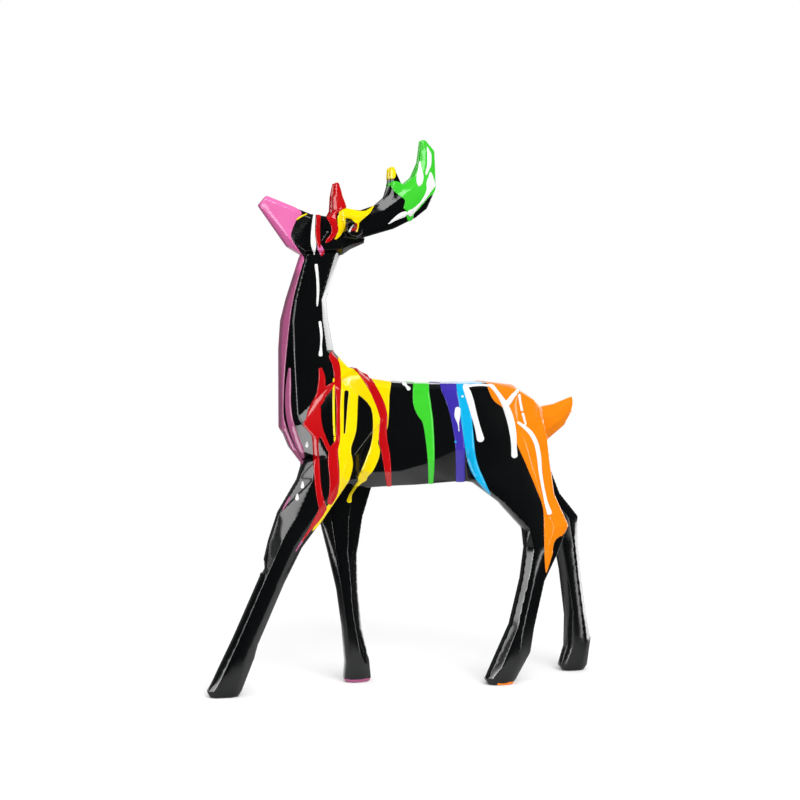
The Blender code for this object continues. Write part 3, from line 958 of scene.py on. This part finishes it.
# ---------------------------------------------------------------- the casting
@dataclass
class Casting:
    """The cast body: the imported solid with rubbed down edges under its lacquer."""

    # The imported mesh: what counts as one corner, as one flat facet and as a sharp edge
    merge_mm: float = 0.002
    flat_degrees: float = 0.4
    crease_degrees: float = 13.0
    map_step_mm: float = 0.5
    # The fineness of its mesh: along the sharp edges, in a band beside them, then coarser
    rounds: int = 14
    edge_mm: float = 2.2
    facet_mm: float = 8.0
    band_mm: float = 1.7
    leg_band_mm: float = 3.0
    growth: float = 1.6
    # How round the sharp edges are rubbed, and how deep at most, for bends in radians
    ridge_mm: float = 2.0
    deepest_mm: float = 0.55
    sharpest: float = 2.0
    # The head and antlers are finer
    fine_above: float = 0.500
    fine_edge: float = 0.72
    fine_ridge: float = 0.75
    # The legs are rubbed rounder, from this height down
    leg_ridge_mm: float = 2.5
    leg_deepest_mm: float = 0.65
    leg_top: float = 0.235
    leg_blend: float = 0.040
    calms: tuple[Calm, ...] = (Calm(4, 8.0), Calm(26, 11.0, SHANK_TOP), Calm(3, 35.0, SHANK_TOP))
    surface: Optional[bmesh.types.BMesh] = None
    tree: Optional[KDTree] = None

    def merged(self) -> bmesh.types.BMesh:
        """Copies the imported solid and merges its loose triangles.

        Returns:
            The merged mesh in triangles, with flat facets cleaned.
        """
        bm = bmesh.new()
        bm.from_mesh(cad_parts[NODE].data)
        bmesh.ops.remove_doubles(bm, verts=bm.verts, dist=self.merge_mm * MM)
        bmesh.ops.dissolve_limit(bm, angle_limit=math.radians(self.flat_degrees),
                                 verts=bm.verts, edges=bm.edges)
        bmesh.ops.triangulate(bm, faces=bm.faces)
        bmesh.ops.recalc_face_normals(bm, faces=bm.faces)
        return bm

    def map_edges(self, bm: bmesh.types.BMesh) -> None:
        """Notes where the sharp edges run, as points a little apart.

        Args:
            bm: the merged mesh.
        """
        crease = math.radians(self.crease_degrees)
        points = []
        for edge in bm.edges:
            if len(edge.link_faces) == 2 and edge.calc_face_angle(0.0) > crease:
                a, b = (v.co for v in edge.verts)
                steps = max(1, int((a - b).length / (self.map_step_mm * MM)))
                points.extend(a.lerp(b, i / steps) for i in range(steps + 1))
        self.tree = KDTree(len(points))
        for i, point in enumerate(points):
            self.tree.insert(point, i)
        self.tree.balance()

    def edge_distance(self, places: np.ndarray) -> np.ndarray:
        """Distances from places to the nearest sharp edge, in metres."""
        return np.array([self.tree.find(place)[2] for place in places])

    def wanted(self, places: np.ndarray, normals: np.ndarray) -> np.ndarray:
        """The longest edge wanted: short along the sharp edges, long on the facets.

        Args:
            places: N by 3 places on the casting.
            normals: N by 3 directions there, which don't matter to the casting.

        Returns:
            N lengths in metres.
        """
        away = self.edge_distance(places)
        fine = self.edge_mm * MM * np.where(places[:, 2] > self.fine_above, self.fine_edge, 1.0)
        band = np.where(places[:, 2] < self.leg_top, self.leg_band_mm, self.band_mm) * MM
        return np.clip(fine + (away - band) * self.growth, fine, self.facet_mm * MM)

    def round_ridges(self, bm: bmesh.types.BMesh) -> None:
        """Moves the corners on each sharp edge in, or out of a crease, by an even amount.

        Args:
            bm: the refined mesh.
        """
        crease = math.radians(self.crease_degrees)
        moves = []
        for v in bm.verts:
            bends = [e.calc_face_angle_signed(0.0) for e in v.link_edges]
            sharp = [bend for bend in bends if abs(bend) > crease]
            if sharp:
                bend = max(sharp, key=abs)
                leg = min(max((self.leg_top - v.co.z) / self.leg_blend, 0.0), 1.0)
                radius = self.ridge_mm * (self.fine_ridge if v.co.z > self.fine_above else 1.0)
                radius += (self.leg_ridge_mm - radius) * leg
                depth = radius * (1 / math.cos(min(abs(bend), self.sharpest) / 2) - 1)
                depth = min(depth, self.deepest_mm + (self.leg_deepest_mm - self.deepest_mm) * leg)
                moves.append((v, v.normal * -math.copysign(depth * MM, bend)))
        for v, move in moves:
            v.co += move

    def ease(self, bm: bmesh.types.BMesh) -> None:
        """Rubs the sharp edges down and fills the creases a little, and keeps the soles flat.

        Args:
            bm: the refined mesh.
        """
        bm.normal_update()
        self.round_ridges(bm)
        for v in bm.verts:
            v.co.z = max(v.co.z, 0.0)
        bm.normal_update()

    def build(self) -> bpy.types.Object:
        """Builds the lacquered casting.

        Returns:
            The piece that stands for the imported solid.
        """
        bm = self.merged()
        self.map_edges(bm)
        refine(bm, self.wanted, self.rounds)
        self.ease(bm)
        self.surface = bm.copy()
        piece = finish_piece(bm, "deer_casting", BLACK.material(), self.calms)
        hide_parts(NODE)
        return piece


# ---------------------------------------------------------------- the enamel films
@dataclass
class EnamelFilms:
    """The poured enamel, one closed film for each colour, in the order they were poured."""

    casting: Casting
    pours: tuple[Pour, ...] = POURS
    # The fineness of the films' mesh: along their edges, in a band beside them, then coarser
    rounds: int = 6
    touched_mm: float = 8.0
    covered_mm: float = 2.0
    edge_mm: float = 0.85
    band_mm: float = 1.2
    growth: float = 0.8
    inner_mm: float = 3.6
    # A corner this close to a colour's edge counts as on it
    snap_mm: float = 0.02
    # How far a film starts above the casting, reaches into it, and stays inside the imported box
    lift_mm: float = 0.01
    sunk_mm: float = 0.25
    margin_mm: float = 0.02
    steepest: float = 0.05
    calms: tuple[Calm, ...] = (Calm(4, 8.0),)
    low: Vector = field(default_factory=lambda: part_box(NODE)[0])
    high: Vector = field(default_factory=lambda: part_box(NODE)[1])

    def gaps(self, places: np.ndarray, normals: np.ndarray) -> np.ndarray:
        """Distances to the edge of every colour, one row to a colour, in millimetres."""
        return np.array([pour.gap_mm(places, normals) for pour in self.pours])

    def wanted(self, places: np.ndarray, normals: np.ndarray) -> np.ndarray:
        """The longest edge wanted: short along every colour's edge.

        Args:
            places: N by 3 places on the casting.
            normals: N by 3 directions there.

        Returns:
            N lengths in metres.
        """
        gaps = self.gaps(places, normals)
        nearest = np.abs(gaps).min(axis=0)
        covered = gaps.min(axis=0) < self.covered_mm
        length = np.clip(self.edge_mm + (nearest - self.band_mm) * self.growth,
                         self.edge_mm, self.inner_mm)
        return np.where(covered, length, LONGEST_EDGE_MM) * MM

    def base(self) -> bmesh.types.BMesh:
        """Cuts the part of the casting's surface that any colour touches, finely along the edges.

        Returns:
            The open mesh that all films are cut from.
        """
        bm = self.casting.surface
        bm.normal_update()
        places, normals = coordinates(bm)
        touched = self.gaps(places, normals).min(axis=0) < self.touched_mm
        away = [f for f in bm.faces if not any(touched[v.index] for v in f.verts)]
        bmesh.ops.delete(bm, geom=away, context="FACES")
        refine(bm, self.wanted, self.rounds)
        bm.normal_update()
        return bm

    def cut(self, base: bmesh.types.BMesh, pour: Pour) -> bmesh.types.BMesh:
        """Cuts one colour's patch out of the base mesh along its edge.

        Args:
            base: the mesh that all films are cut from.
            pour: the colour.

        Returns:
            The patch, an open mesh.
        """
        bm = base.copy()
        gap = pour.gap_mm(*coordinates(bm))
        gap[np.abs(gap) < self.snap_mm] = 0.0
        value = {v: gap[v.index] for v in bm.verts}
        outside = [f for f in bm.faces if all(value[v] >= 0 for v in f.verts)]
        bmesh.ops.delete(bm, geom=outside, context="FACES")
        crossing = [e for e in bm.edges if value[e.verts[0]] * value[e.verts[1]] < 0]
        seam = [v for v in bm.verts if value[v] == 0.0]
        for edge in crossing:
            start, end = edge.verts
            share = value[start] / (value[start] - value[end])
            _, fresh = bmesh.utils.edge_split(edge, start, share)
            value[fresh] = 0.0
            seam.append(fresh)
        bmesh.ops.connect_verts(bm, verts=seam)
        outside = [f for f in bm.faces if sum(value[v] for v in f.verts) >= 0]
        bmesh.ops.delete(bm, geom=outside, context="FACES")
        bmesh.ops.triangulate(bm, faces=bm.faces)
        bm.normal_update()
        return bm

    def raise_film(self, bm: bmesh.types.BMesh, index: int) -> None:
        """Gives a patch its thickness over the casting and over the colours poured before it.

        Args:
            bm: the patch, which becomes a closed film.
            index: which colour.
        """
        places, normals = coordinates(bm)
        top = np.zeros(len(places))
        for pour in self.pours[:index + 1]:
            top += pour.height_mm(pour.gap_mm(places, normals))
        walls = np.where(normals > 0, np.array(self.high) - places, places - np.array(self.low))
        room = (walls - self.margin_mm * MM) / np.maximum(np.abs(normals), self.steepest) / MM
        top = np.minimum(top + self.lift_mm, np.maximum(room.min(axis=1), self.margin_mm))
        layer = bm.verts.layers.int.new("source")
        for v in bm.verts:
            v[layer] = v.index
        made = bmesh.ops.extrude_face_region(bm, geom=bm.faces[:], use_keep_orig=True)
        raised = {g for g in made["geom"] if isinstance(g, bmesh.types.BMVert)}
        for v in bm.verts:
            lift = top[v[layer]] if v in raised else -self.sunk_mm
            v.co = np.clip(places[v[layer]] + normals[v[layer]] * lift * MM, self.low, self.high)
        bm.verts.layers.int.remove(layer)
        bmesh.ops.recalc_face_normals(bm, faces=bm.faces)

    def build(self) -> list[bpy.types.Object]:
        """Builds every film.

        Returns:
            The pieces, in the order they were poured.
        """
        base = self.base()
        pieces = []
        for index, pour in enumerate(self.pours):
            bm = self.cut(base, pour)
            self.raise_film(bm, index)
            enamel = pour.enamel
            pieces.append(finish_piece(bm, pour.piece, enamel.material(), self.calms))
        base.free()
        return pieces


# ---------------------------------------------------------------- the studio
class Use(Enum):
    """What a lamp is for: its picture in the gloss, or the light that it throws."""

    REFLECTION = "reflection"
    FILL = "fill"


@dataclass(frozen=True)
class SoftBox:
    """One soft studio lamp, placed by its direction from the deer."""

    name: str
    azimuth: float
    elevation: float
    distance: float
    width: float
    height: float
    radiance: float
    use: Use = Use.REFLECTION
    aim: tuple[float, float, float] = (0.0, 0.0, 0.30)

    def build(self) -> bpy.types.Object:
        """Makes the lamp.

        Returns:
            The light object.
        """
        a, e = math.radians(self.azimuth), math.radians(self.elevation)
        away = Vector((math.sin(a) * math.cos(e), -math.cos(a) * math.cos(e), math.sin(e)))
        data = bpy.data.lights.new(self.name, "AREA")
        data.shape = "RECTANGLE"
        data.size = self.width
        data.size_y = self.height
        data.energy = self.radiance * self.width * self.height * math.pi
        lamp = bpy.data.objects.new(self.name, data)
        lamp.location = Vector(self.aim) + away * self.distance
        lamp.rotation_euler = away.to_track_quat("Z", "Y").to_euler()
        lamp.visible_camera = False
        lamp.visible_glossy = self.use is Use.REFLECTION
        lamp.visible_diffuse = self.use is Use.FILL
        bpy.context.scene.collection.objects.link(lamp)
        return lamp


@dataclass(frozen=True)
class Fade:
    """How bright the room is along one axis: even up to a start, then changing up to an end."""

    axis: str
    start: float
    end: float
    before: float
    after: float


@dataclass
class Studio:
    """A pale seamless floor in a bright room with soft lamps."""

    room: str = "ffffff"
    # In the gloss the room is bright behind the deer only, and dark to its left and overhead
    mirrored: tuple[Fade, ...] = (Fade("Y", -0.10, 0.55, 0.03, 1.0),
                                  Fade("X", -0.10, 0.22, 0.07, 1.0),
                                  Fade("Z", 0.35, 0.60, 1.0, 0.06))
    # The light that the room throws comes from above more than from below
    thrown: Fade = Fade("Z", -0.2, 0.9, 0.42, 1.15)
    paint: FloorPaint = FloorPaint()
    floor_radius: float = 0.95
    floor_sides: int = 96
    floor_gap_mm: float = 0.2
    # Name, azimuth, elevation, distance, width, height, radiance
    lamps: tuple[SoftBox, ...] = (
        SoftBox("high_left_box", -32, 44, 2.0, 1.2, 0.8, 7.0),
        SoftBox("low_left_strip", -52.5, -2.5, 2.4, 1.24, 0.72, 6.5),
        SoftBox("knee_box", -31, 10.5, 2.2, 0.56, 0.66, 6.0),
        SoftBox("upper_left_strip", -64, 19.5, 2.4, 0.95, 0.80, 6.0),
        SoftBox("right_box", 99, -11, 1.8, 0.47, 0.42, 7.5),
        SoftBox("right_back_box", 121, -2, 1.8, 0.95, 0.9, 5.0),
        SoftBox("left_edge_strip", -39, -6, 2.2, 0.16, 0.9, 13.0),
        SoftBox("right_edge_strip", 29, -6, 2.2, 0.14, 0.9, 8.0),
        SoftBox("floor_card", -77, -35, 0.35, 0.10, 0.15, 6.5, aim=(-0.100, -0.035, 0.265)),
        SoftBox("front_fill", 8, 32, 2.6, 2.2, 1.6, 3.0, Use.FILL),
    )

    def world(self) -> None:
        """Sets the room: white to the eye, and as the fades say in the gloss and as light."""
        world = bpy.data.worlds.new("studio_room")
        world.use_nodes = True
        tree = world.node_tree
        tree.nodes.clear()
        place = add_node(tree, "ShaderNodeTexCoord").outputs["Generated"]
        axes = add_node(tree, "ShaderNodeSeparateXYZ", {"Vector": place})
        *shares, strength = (
            add_node(tree, "ShaderNodeMapRange", {"Value": axes.outputs[fade.axis]},
                     interpolation_type="SMOOTHSTEP", From_Min=fade.start, From_Max=fade.end,
                     To_Min=fade.before, To_Max=fade.after).outputs["Result"]
            for fade in (*self.mirrored, self.thrown))
        dimmed = shares[0]
        for share in shares[1:]:
            dimmed = add_node(tree, "ShaderNodeMath", {0: dimmed, 1: share},
                              operation="MULTIPLY").outputs[0]
        white = linear(self.room)
        gloss = add_node(tree, "ShaderNodeBackground", {"Strength": dimmed}, Color=white)
        throw = add_node(tree, "ShaderNodeBackground", {"Strength": strength}, Color=white)
        seen = add_node(tree, "ShaderNodeBackground", Color=white, Strength=1.0)
        ray = add_node(tree, "ShaderNodeLightPath")
        light = add_node(tree, "ShaderNodeMixShader", {0: ray.outputs["Is Glossy Ray"],
                                                       1: throw.outputs[0], 2: gloss.outputs[0]})
        mix = add_node(tree, "ShaderNodeMixShader", {0: ray.outputs["Is Camera Ray"],
                                                     1: light.outputs[0], 2: seen.outputs[0]})
        add_node(tree, "ShaderNodeOutputWorld", {"Surface": mix.outputs[0]})
        bpy.context.scene.world = world

    def floor(self) -> bpy.types.Object:
        """Makes the pale floor, which fades into the white room.

        Returns:
            The floor.
        """
        bm = bmesh.new()
        bmesh.ops.create_circle(bm, cap_ends=True, segments=self.floor_sides,
                                radius=self.floor_radius)
        bmesh.ops.translate(bm, verts=bm.verts, vec=(0.0, 0.0, -self.floor_gap_mm * MM))
        mesh = bpy.data.meshes.new("floor")
        bm.to_mesh(mesh)
        bm.free()
        mesh.materials.append(self.paint.material())
        floor = bpy.data.objects.new("floor", mesh)
        bpy.context.scene.collection.objects.link(floor)
        return floor

    def build(self) -> None:
        """Sets up the room, the floor and the lamps."""
        self.world()
        self.floor()
        for lamp in self.lamps:
            lamp.build()
        bpy.context.scene.view_settings.view_transform = "Standard"


def main() -> None:
    """Builds the casting, its enamel and the studio."""
    logging.basicConfig(level=logging.INFO, format="%(message)s")
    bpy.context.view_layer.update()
    VIEW.camera()
    casting = Casting()
    casting.build()
    EnamelFilms(casting).build()
    Studio().build()


if __name__ == "__main__":
    main()
